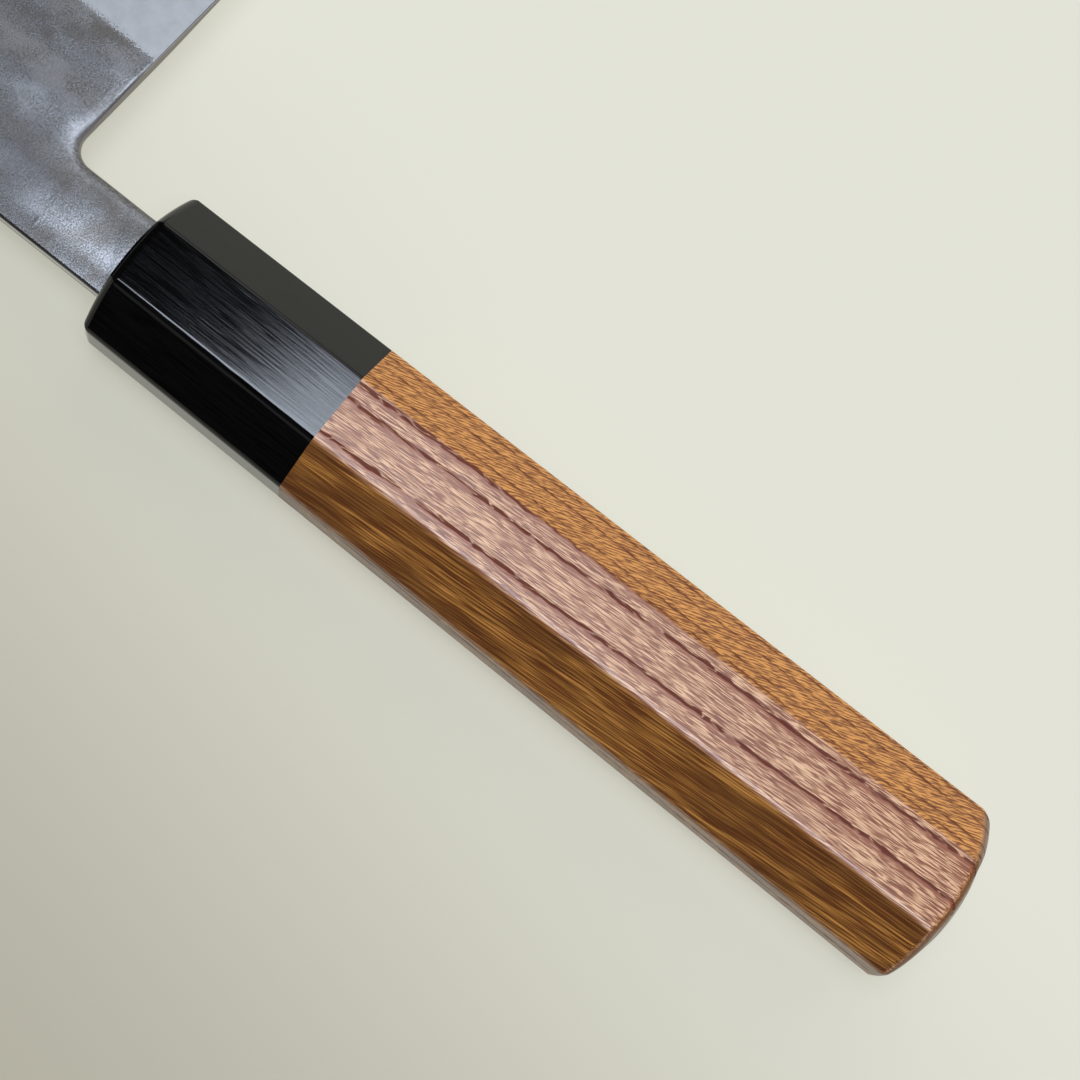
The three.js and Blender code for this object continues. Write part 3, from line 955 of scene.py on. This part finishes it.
def ray_net(place_mm, dense):
    """Mask of the net's pale cells, which are fainter in the rows of the dense bands."""
    run = dot(place_mm, (math.cos(NET_LEAN), *(math.sin(NET_LEAN) * RING_WAY.yz)))
    over = dot(place_mm, (-math.sin(NET_LEAN), *(math.cos(NET_LEAN) * RING_WAY.yz)))
    net_place = join(run, over, dot(place_mm, RAY_WAY))
    bend = swing(grain(net_place, NET_BEND_SIZE_MM, detail=1.0), NET_BEND)
    stripe = calc("SINE", calc("MULTIPLY_ADD", over, math.tau / NET_PITCH_MM, bend))
    broken = grain(net_place, NET_BREAK_SIZE_MM)
    cell = span(calc("MULTIPLY_ADD", stripe, NET_STRIPE, broken), *CELL_RANGE)
    return times(cell, span(dense, 0.0, 1.0, 1.0, DENSE_CELL))


# %% Golden streaks and dark clouds inside the dense ring, darkened further by painted shade
STREAK_LIGHT = (0.64, 0.285, 0.058)
# The ground and the deep clouds are darker than the other facets, partly by painted shade.
STREAK_GROUND_WITH_PAINTED_SHADE = (0.175, 0.046, 0.006)
STREAK_DEEP_WITH_PAINTED_SHADE = (0.10, 0.026, 0.003)
STREAK = {"Length": 9.0, "Width": 0.10}
CLOUD_SIZE_MM = (14.0, 2.6, 2.6)
CLOUD_RANGE = (0.36, 0.62)
CLOUD_DEPTH = 0.8
DEEP_RANGE = (0.46, 0.36)
GOLDEN_RANGE = (0.51, 0.585)
GOLDEN_LEAST = 0.35


def streaked_wood_with_painted_shade(along_fibre):
    """The colour of the facets towards the spine: one dense ring, darkened further by painted shade."""
    cloud = span(grain(along_fibre, CLOUD_SIZE_MM), *CLOUD_RANGE)
    thread = fibres_at(along_fibre, STREAK)["Fine"]
    deep = most(span(thread, *DEEP_RANGE), minus(CLOUD_DEPTH, cloud))
    golden = span(thread, *GOLDEN_RANGE)
    golden = times(golden, span(cloud, 0.0, 1.0, GOLDEN_LEAST, 1.0))
    return blend(golden, blend(deep, STREAK_GROUND_WITH_PAINTED_SHADE, STREAK_DEEP_WITH_PAINTED_SHADE), STREAK_LIGHT)


# %% Grip wood
WOOD_PORE = (0.13, 0.026, 0.016)
NET_PORE = (0.15, 0.036, 0.008)
PORE_SHARE = 0.92
END_GRAIN = (0.24, 0.098, 0.034)
END_PORE = (0.16, 0.058, 0.018)
END_PORE_SIZE_MM = (1.0, 0.22, 0.22)
END_PORE_RANGE = (0.4, 0.65)
END_CUT_MM = (0.03, 0.25)
RAY_CUT_MM = (0.04, 0.28)
RING_CUT_MM = (0.02, 0.12)
SIDE_CUT_MM = (0.05, 0.2)
WOOD_ROUGHNESS = (0.29, 0.33)
PORE_ROUGHNESS = 0.6
FLECK_HEIGHT = 0.5
CELL_HEIGHT = 0.3
WOOD_RELIEF_MM = 0.012
WOOD_IOR = 1.5


def make_grip_wood():
    material, tree, shader = new_material("grip_wood_oiled")
    place_mm = use(tree, millimetres)["Place"]
    along_fibre = fibre_place(place_mm)
    depths = {name: facet_depth(place_mm, *facet) for name, facet in FACETS.items()}
    ray_cut = span(depths["rays"], *RAY_CUT_MM, 1.0, 0.0)
    ring_cut_and_painted_shade = span(depths["rings"], *RING_CUT_MM, 1.0, 0.0)
    side = span(depths["sides"], *SIDE_CUT_MM, 1.0, 0.0)
    to_spine = calc("GREATER_THAN", dot(place_mm, (0, 1, 0)), 0.0)
    # The side wall towards the spine gets the same dark wood: painted shade for the shade it lies in.
    ring_cut_and_painted_shade = most(ring_cut_and_painted_shade, times(side, to_spine))
    ray_cut = most(ray_cut, calc("GREATER_THAN", side, to_spine))
    pores, dense = growth_rings(place_mm, ray_cut)
    thread = fibres_at(along_fibre, FLECK)["Fine"]
    colour, pale = flecked_wood(along_fibre, thread, dense)
    cell = ray_net(place_mm, dense)
    colour = blend(ray_cut, colour, blend(cell, NET_STROKE, NET_CELL))
    # The facets towards the spine take the dark streaked wood, which is darker partly by painted shade.
    colour = blend(ring_cut_and_painted_shade, colour, streaked_wood_with_painted_shade(along_fibre))

    # The crowned butt is where no facet is near.
    depth = depths["top"]
    for name in ("rays", "rings", "sides"):
        depth = least(depth, depths[name])
    end_pores = span(grain(place_mm, END_PORE_SIZE_MM), *END_PORE_RANGE)
    end_colour = blend(end_pores, END_GRAIN, END_PORE)
    colour = blend(span(depth, *END_CUT_MM), colour, end_colour)

    pore_colour = blend(ray_cut, WOOD_PORE, NET_PORE)
    colour = blend(times(pores, PORE_SHARE), colour, pore_colour)
    rough = span(pale, 0.0, 1.0, *WOOD_ROUGHNESS)
    rough = plus(rough, times(pores, PORE_ROUGHNESS))
    height = times(times(cell, ray_cut), CELL_HEIGHT)
    height = plus(times(thread, FLECK_HEIGHT), height)
    surface(shader, colour, rough, minus(height, pores), WOOD_RELIEF_MM)
    shader.inputs["IOR"].default_value = WOOD_IOR
    return material


grip_wood = make_grip_wood()
print("material:", grip_wood.name, len(grip_wood.node_tree.nodes), "nodes")

# %% [markdown]
# ## The ferrule
# The ferrule is wood filled with black resin and polished. It is almost black all through, so what
# the eye sees is its surface: a soft gloss with fine scratches and fibres along its length.

# %% Ferrule finish
FERRULE_DARK = (0.0005, 0.0005, 0.0006)
FERRULE_LIGHT = (0.0030, 0.0029, 0.0030)
FERRULE_FIBRE = {"Length": 7.0, "Width": 0.18}
FERRULE_RANGE = (0.35, 0.65)
FERRULE_ROUGHNESS = (0.07, 0.105)
FINE_HEIGHT = 0.7
COARSE_HEIGHT = 0.3
FERRULE_RELIEF_MM = 0.0022
FERRULE_IOR = 1.42


def make_ferrule_finish():
    material, tree, shader = new_material("ferrule_black_wood")
    streaks = fibres_at(use(tree, millimetres)["Place"], FERRULE_FIBRE)
    fine = span(streaks["Fine"], *FERRULE_RANGE)
    coarse = span(streaks["Coarse"], *FERRULE_RANGE)
    colour = blend(fine, FERRULE_DARK, FERRULE_LIGHT)
    rough = span(fine, 0.0, 1.0, *FERRULE_ROUGHNESS)
    height = plus(times(fine, FINE_HEIGHT), times(coarse, COARSE_HEIGHT))
    surface(shader, colour, rough, height, FERRULE_RELIEF_MM)
    shader.inputs["IOR"].default_value = FERRULE_IOR
    return material


ferrule_finish = make_ferrule_finish()
print("material:", ferrule_finish.name)

# %% [markdown]
# ## The wall of the choil
# The neck and the choil were cut out before the blade was hardened, so the narrow wall that runs round
# them keeps the brown of the fire. A thin dark rim where it meets the face is painted shade of that
# edge. The claddings and the core share one group for it: the distance to the outline, worked out as
# above, is close to nothing there.

# %% Group: the wall of the choil
WALL_COLOUR = (0.38, 0.353, 0.332)
# Painted shade: a thin dark line where the wall meets the face.
PAINTED_RIM_SHADE = (0.11, 0.107, 0.104)
ROUND_PAINTED_RIM = 0.35
PAINTED_RIM_MM = (0.03, 0.15)
WALL_ROUGHNESS = 0.7
WALL_FROM_MM = 0.10
WALL_TO_MM = 0.38
STRAIGHT_WALL_TO_MM = 0.6
BEVEL_WALL_TO_MM = 0.3


def make_choil_wall():
    outputs = {"Wall": "Float", "Inside": "Float", "Colour": "Color"}
    tree, _, end = new_group("choil_wall", {}, outputs)
    parts = split(use(tree, millimetres)["Place"])
    below = most(minus(CHOIL_Y_CENTRE_MM, parts["Y"]), 0.0)
    leaned = calc("MULTIPLY_ADD", below, math.tan(CHOIL_LEAN), parts["X"])
    along = most(minus(leaned, CHOIL_X_CENTRE_MM), 0.0)
    across = most(minus(parts["Y"], CHOIL_Y_CENTRE_MM), 0.0)
    squares = calc("MULTIPLY_ADD", across, across, calc("POWER", along, 2.0))
    inside = minus(calc("SQRT", squares), CHOIL_RADIUS_MM)
    # Painted shade: a thin dark line along the edge where the wall meets the face, fainter round the
    # fillet.
    painted_rim = span(parts["Y"], *HELD_MM, 1.0, ROUND_PAINTED_RIM)
    painted_rim = times(painted_rim, span(inside, *PAINTED_RIM_MM))
    wall_to = span(parts["Y"], *HELD_MM, STRAIGHT_WALL_TO_MM, WALL_TO_MM)
    on_bevel = span(parts["Y"], *ROLLED_MM, BEVEL_WALL_TO_MM, STRAIGHT_WALL_TO_MM)
    wall = span(inside, WALL_FROM_MM, least(wall_to, on_bevel), 1.0, 0.0)
    wire(end.inputs["Wall"], wall)
    wire(end.inputs["Inside"], inside)
    wire(end.inputs["Colour"], blend(painted_rim, WALL_COLOUR, PAINTED_RIM_SHADE))
    return tree


choil_wall = make_choil_wall()
print("group:", choil_wall.name)

# %% [markdown]
# ## The cladding's steel
# Above the bevel the steel keeps the skin of its forging, which is pitted as finely as a pear's skin
# and breaks the light into grains. Below, the bevel is ground to a pale satin. The border follows the
# bevel line, but grain by grain: a pit that was deeper than the grinding is still there.

# %% The skin of the forging
SKIN_DARK = (0.12, 0.12, 0.123)
SKIN_LIGHT = (0.26, 0.263, 0.27)
PATCH_SIZE_MM = (6.0, 4.0, 6.0)
BROWN_PATCH = (0.125, 0.114, 0.105)
BROWN_RANGE = (0.5, 0.66, 0.0, 0.6)
PALE_PATCH = (0.28, 0.285, 0.30)
PALE_PATCH_RANGE = (0.48, 0.34, 0.0, 0.45)
PLATE_COLOUR = (0.115, 0.113, 0.115)
PLATE_X_MM = (136.0, 150.0)
PLATE_Y_MM = (-7.0, -1.0)
PLATE_SHARE = 0.5


def above_bevel(parts):
    """How far a place lies above the bevel line, in millimetres."""
    share = ratio(minus(parts["X"], HEEL_MM), BLADE_MM)
    share = most(share, 0.0)
    line = times(calc("POWER", share, EDGE_POWER), EDGE_RISE_MM)
    line = plus(line, times(share, TIP_BEVEL_MM - HEEL_BEVEL_MM))
    line = plus(line, HEEL_LOW_MM + HEEL_BEVEL_MM)
    return minus(parts["Y"], line)


def skin_colour(place_mm, parts, speck):
    """Specks of light and dark steel, with brown and pale patches and a darker plate."""
    patches = grain(place_mm, PATCH_SIZE_MM)
    colour = blend(speck, SKIN_DARK, SKIN_LIGHT)
    colour = blend(span(patches, *BROWN_RANGE), colour, BROWN_PATCH)
    colour = blend(span(patches, *PALE_PATCH_RANGE), colour, PALE_PATCH)
    plate = times(span(parts["X"], *PLATE_X_MM), span(parts["Y"], *PLATE_Y_MM))
    return blend(times(plate, PLATE_SHARE), colour, PLATE_COLOUR)


# %% Cladding steel
PIT_SIZE_MM = (0.26, 0.26, 0.26)
PIT_DETAIL = 3.0
PIT_ROUGHNESS = 0.7
PIT_RANGE = (0.36, 0.64)
PIT_DEPTH_MM = 0.010
BORDER_FUZZ_MM = 3.5
BORDER_MM = (-0.35, 0.35)
SATIN_SIZE_MM = (1.6, 1.6, 1.6)
SATIN_DARK = (0.35, 0.37, 0.40)
SATIN_LIGHT = (0.39, 0.41, 0.44)
SATIN_ROUGHNESS = 0.34
SKIN_ROUGHNESS = (0.29, 0.23)
EASED_ROUGHNESS = 0.5
EASED_MM = (2.0, 0.4)
EASED_Y_MM = (-18.5, -12.0)


def make_cladding_steel():
    material, tree, shader = new_material("cladding_pear_skin")
    place_mm = use(tree, millimetres)["Place"]
    parts = split(place_mm)
    choil = use(tree, choil_wall)
    pits = grain(place_mm, PIT_SIZE_MM, PIT_DETAIL, PIT_ROUGHNESS)
    speck = span(pits, *PIT_RANGE)
    fuzz = swing(pits, BORDER_FUZZ_MM)
    skin = span(plus(above_bevel(parts), fuzz), *BORDER_MM)

    cloud = span(grain(place_mm, SATIN_SIZE_MM, detail=3.0), *NOISE_RANGE)
    colour = blend(cloud, SATIN_DARK, SATIN_LIGHT)
    colour = blend(skin, colour, skin_colour(place_mm, parts, speck))
    colour = blend(choil["Wall"], colour, choil["Colour"])
    rough = mix(skin, SATIN_ROUGHNESS, span(speck, 0.0, 1.0, *SKIN_ROUGHNESS))
    eased = times(span(parts["Y"], *EASED_Y_MM), span(choil["Inside"], *EASED_MM))
    rough = mix(eased, rough, EASED_ROUGHNESS)
    rough = mix(choil["Wall"], rough, WALL_ROUGHNESS)
    surface(shader, colour, rough, times(pits, skin), PIT_DEPTH_MM)
    shader.inputs["Metallic"].default_value = 1.0
    return material


cladding_steel = make_cladding_steel()
print("material:", cladding_steel.name)

# %% [markdown]
# ## The core's steel
# The hard core shows only along the cutting edge. It is ground finer than the cladding, with hairlines
# that run from the edge upwards.

# %% Core steel
CORE_DARK = (0.60, 0.61, 0.63)
CORE_LIGHT = (0.72, 0.73, 0.75)
CORE_CLOUD_SIZE_MM = (2.5, 1.2, 2.0)
CORE_ROUGHNESS = (0.20, 0.32)
HAIR_SIZE_MM = (0.12, 9.0, 2.0)
HAIR_DEPTH_MM = 0.003


def make_core_steel():
    material, tree, shader = new_material("core_steel_ground")
    place_mm = use(tree, millimetres)["Place"]
    choil = use(tree, choil_wall)
    hairs = grain(place_mm, HAIR_SIZE_MM)
    cloud = span(grain(place_mm, CORE_CLOUD_SIZE_MM, detail=3.0), *NOISE_RANGE)
    colour = blend(cloud, CORE_DARK, CORE_LIGHT)
    colour = blend(choil["Wall"], colour, choil["Colour"])
    rough = span(hairs, *NOISE_RANGE, *CORE_ROUGHNESS)
    rough = mix(choil["Wall"], rough, WALL_ROUGHNESS)
    surface(shader, colour, rough, hairs, HAIR_DEPTH_MM)
    shader.inputs["Metallic"].default_value = 1.0
    return material


core_steel = make_core_steel()
print("material:", core_steel.name)

# %% [markdown]
# ## What is hidden
# The dowel, the bedding and the seal are inside the handle. They keep their CAD shapes and still get a
# finish of their own, so that the knife can be taken apart on screen.

# %% Dowel
DOWEL_DARK = (0.56, 0.40, 0.22)
DOWEL_LIGHT = (0.70, 0.54, 0.34)
DOWEL_LINE = (0.38, 0.24, 0.11)
DOWEL_LINE_RANGE = (0.55, 0.75, 0.0, 0.5)
DOWEL_FIBRE = {"Length": 14.0, "Width": 0.25}
DOWEL_ROUGHNESS = (0.55, 0.75)
DOWEL_RELIEF_MM = 0.01


def make_dowel_wood():
    material, tree, shader = new_material("dowel_pale_wood")
    streaks = fibres_at(use(tree, millimetres)["Place"], DOWEL_FIBRE)
    colour = blend(span(streaks["Coarse"], *NOISE_RANGE), DOWEL_DARK, DOWEL_LIGHT)
    colour = blend(span(streaks["Fine"], *DOWEL_LINE_RANGE), colour, DOWEL_LINE)
    rough = span(streaks["Fine"], *NOISE_RANGE, *DOWEL_ROUGHNESS)
    surface(shader, colour, rough, streaks["Fine"], DOWEL_RELIEF_MM)
    return material


dowel_wood = make_dowel_wood()
print("material:", dowel_wood.name)

# %% Bedding and seal
RESIN_CLOUD_SIZE_MM = (3.0, 3.0, 3.0)
RESIN_RELIEF_MM = 0.02
RESIN_UNEVEN = 0.15
AMBER = {"colour": (0.45, 0.26, 0.08), "deep": (0.30, 0.15, 0.04), "roughness": 0.25}
SEALANT = {"colour": (0.010, 0.009, 0.009), "deep": (0.016, 0.015, 0.014), "roughness": 0.45}


def make_resin(name, colour, deep, roughness):
    material, tree, shader = new_material(name)
    cloud = grain(use(tree, millimetres)["Place"], RESIN_CLOUD_SIZE_MM, detail=3.0)
    tone = blend(span(cloud, *NOISE_RANGE), colour, deep)
    rough = span(cloud, *NOISE_RANGE, roughness, roughness + RESIN_UNEVEN)
    surface(shader, tone, rough, cloud, RESIN_RELIEF_MM)
    return material


bedding_resin = make_resin("bedding_resin_amber", **AMBER)
mouth_sealant = make_resin("mouth_sealant_dark", **SEALANT)
print("materials:", bedding_resin.name, mouth_sealant.name)

# %% [markdown]
# ## Which piece stands for which node
# Each new piece rides on the knife's one body and stands for the CAD node that it refines. The three
# inner nodes stay as they are.

# %% Ride, replace and finish
MADE = (
    (grip, "handle_body", "grip_wood", grip_wood),
    (ferrule, "ferrule", "ferrule_wood", ferrule_finish),
    (right_cladding, "blade_cladding_right", "clad_steel", cladding_steel),
    (left_cladding, "blade_cladding_left", "clad_steel", cladding_steel),
    (core, "blade_core", "core_steel", core_steel),
)
KEPT = (
    ("handle_dowel", dowel_wood),
    ("tang_bedding", bedding_resin),
    ("mouth_seal", mouth_sealant),
)
for piece, node, slot_name, material in MADE:
    piece.data.materials.clear()
    piece.data.materials.append(material)
    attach(piece, "root")
    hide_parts(node)
for node, material in KEPT:
    nodes[node].data.materials.clear()
    nodes[node].data.materials.append(material)
print("pieces:", [piece.name for piece, *_ in MADE], "kept nodes:", [node for node, _ in KEPT])

# %% [markdown]
# ## Floor and light
# The knife lies on a pale cream sheet. Two soft panels hang level above it, as two softboxes would. The
# narrow one is almost straight overhead. The steel and the ferrule's top facet mirror its rim, so the
# ferrule fades from grey to black. The broad one hangs far out on the side of the cutting edge and
# veils the wood. The room is dark except low on that same side, so the facets that face the spine stay
# dark. Part of the sheet's light, as the eye and the reflections see it, is a painted glow of its own.
# The glow lightens the knife's shadow and keeps it soft, carries painted shade that darkens the sheet
# towards the spine, and joins the sheet to a pale horizon. A grey wall behind the spine is there for
# the same rays, so that the steel isn't black from low angles.

# %% Floor
FLOOR_SIZE = 12.0
FLOOR_COLOUR = (0.88, 0.85, 0.70)
FAR_COLOUR = (0.72, 0.705, 0.62)
FAR_RANGE = (0.17, 0.42)
LIGHT_SIDE_COLOUR = (0.77, 0.775, 0.675)
# Painted shade: near the knife the glow darkens towards this colour on the spine side of the sheet.
PAINTED_SHADE_COLOUR = (0.325, 0.292, 0.216)
PAINTED_SHADE_WAY = (0.2, 0.98, 0.0)
PAINTED_SHADE_RANGE = (-0.0355, 0.0995)
GLOW_SHARE = 0.7
MOTTLE_SIZE = (0.02, 0.02, 0.02)
MOTTLE_DARK = 0.98
PAPER_ROUGHNESS = 0.9
PAPER_SPECULAR = 0.2

select_none()
bpy.ops.mesh.primitive_plane_add(size=FLOOR_SIZE, location=(0, 0, cad_box[0].z))
floor = settle("floor")


def seen_ray(tree):
    """One for rays that are seen: from the camera, off a gloss or through a clear piece."""
    path = add(tree, "ShaderNodeLightPath").outputs
    seen = most(path["Is Camera Ray"], path["Is Glossy Ray"])
    return most(seen, path["Is Transmission Ray"])


def make_paper():
    material, tree, shader = new_material("cream_paper")
    coordinates = add(tree, "ShaderNodeTexCoord").outputs["Object"]
    mottle = grain(coordinates, MOTTLE_SIZE, detail=4.0)
    darker = tuple(MOTTLE_DARK * part for part in FLOOR_COLOUR)
    wire(shader.inputs["Base Color"], blend(mottle, darker, FLOOR_COLOUR))
    shader.inputs["Roughness"].default_value = PAPER_ROUGHNESS
    shader.inputs["Specular IOR Level"].default_value = PAPER_SPECULAR
    # Painted shade: the glow darkens across the sheet towards the spine.
    painted_shade = span(dot(coordinates, PAINTED_SHADE_WAY), *PAINTED_SHADE_RANGE)
    away = feed("ShaderNodeVectorMath", {0: coordinates}, operation="LENGTH").outputs["Value"]
    far = span(away, *FAR_RANGE)
    near_glow_with_painted_shade = blend(painted_shade, LIGHT_SIDE_COLOUR, PAINTED_SHADE_COLOUR)
    glow_colour = blend(far, near_glow_with_painted_shade, FAR_COLOUR)
    # Painted light: near the knife most of what is seen of the sheet is its glow, which lightens the
    # knife's shadow.
    share = times(span(far, 0.0, 1.0, GLOW_SHARE, 1.0), seen_ray(tree))
    glow = feed("ShaderNodeEmission", {"Color": glow_colour, "Strength": 1.0}).outputs[0]
    mixed = feed("ShaderNodeMixShader", {0: share, 1: shader.outputs[0], 2: glow}).outputs[0]
    wire(tree.nodes["Material Output"].inputs["Surface"], mixed)
    return material


floor.data.materials.append(make_paper())
print("floor at z =", round(cad_box[0].z, 5))

# %% Two panels and the room
NARROW_PANEL = {"middle_mm": (32.0, 66.0, 1150.0), "size": (0.70, 0.36), "turn": -30.0, "power": 10.5}
BROAD_PANEL = {"middle_mm": (0.0, -900.0, 1200.0), "size": (1.6, 1.0), "turn": 0.0, "power": 5.5}
NARROW_COLOUR = (0.79, 0.87, 1.0)
BROAD_COLOUR = (1.0, 0.99, 0.97)
ROOM_COLOUR = (0.030, 0.030, 0.030)
ROOM_LIGHT_SIDE = (0.68, 0.655, 0.62)
ROOM_LIGHT_RANGE = (-0.35, -0.8)
HAZE_TOP = 0.10
BACK_WALL = (0.42, 0.42, 0.43)
BACK_WALL_LOW = (0.28, 0.44)
BACK_WALL_HIGH = (0.76, 0.55)
BACK_WALL_RANGE = (0.0, 0.3)


def hang_panel(name, colour, middle_mm, size, turn, power):
    """A level area light that faces down, turned about the vertical by degrees."""
    rotation = (0, 0, math.radians(turn))
    select_none()
    bpy.ops.object.light_add(type="AREA", location=place(*middle_mm), rotation=rotation)
    panel = bpy.context.object
    panel.name = name
    panel.data.shape = "RECTANGLE"
    panel.data.size, panel.data.size_y = size
    panel.data.energy = power
    panel.data.color = colour


hang_panel("narrow_panel", NARROW_COLOUR, **NARROW_PANEL)
hang_panel("broad_panel", BROAD_COLOUR, **BROAD_PANEL)
world = bpy.data.worlds.new("room")
world.use_nodes = True
room = world.node_tree
direction = add(room, "ShaderNodeTexCoord").outputs["Generated"]
compass = split(direction)
seen = seen_ray(room)
light_side = span(compass["Y"], *ROOM_LIGHT_RANGE)
room_colour = blend(light_side, ROOM_COLOUR, ROOM_LIGHT_SIDE)
haze = times(span(compass["Z"], 0.0, HAZE_TOP, 1.0, 0.0), seen)
room_colour = blend(haze, room_colour, FAR_COLOUR)
back = times(span(compass["Z"], *BACK_WALL_LOW), span(compass["Z"], *BACK_WALL_HIGH))
back = times(back, span(compass["Y"], *BACK_WALL_RANGE))
room_colour = blend(times(back, seen), room_colour, BACK_WALL)
wire(room.nodes["Background"].inputs["Color"], room_colour)
bpy.context.scene.world = world
bpy.context.scene.view_settings.view_transform = "Standard"
print("panels:", NARROW_PANEL["power"], "and", BROAD_PANEL["power"], "watts")
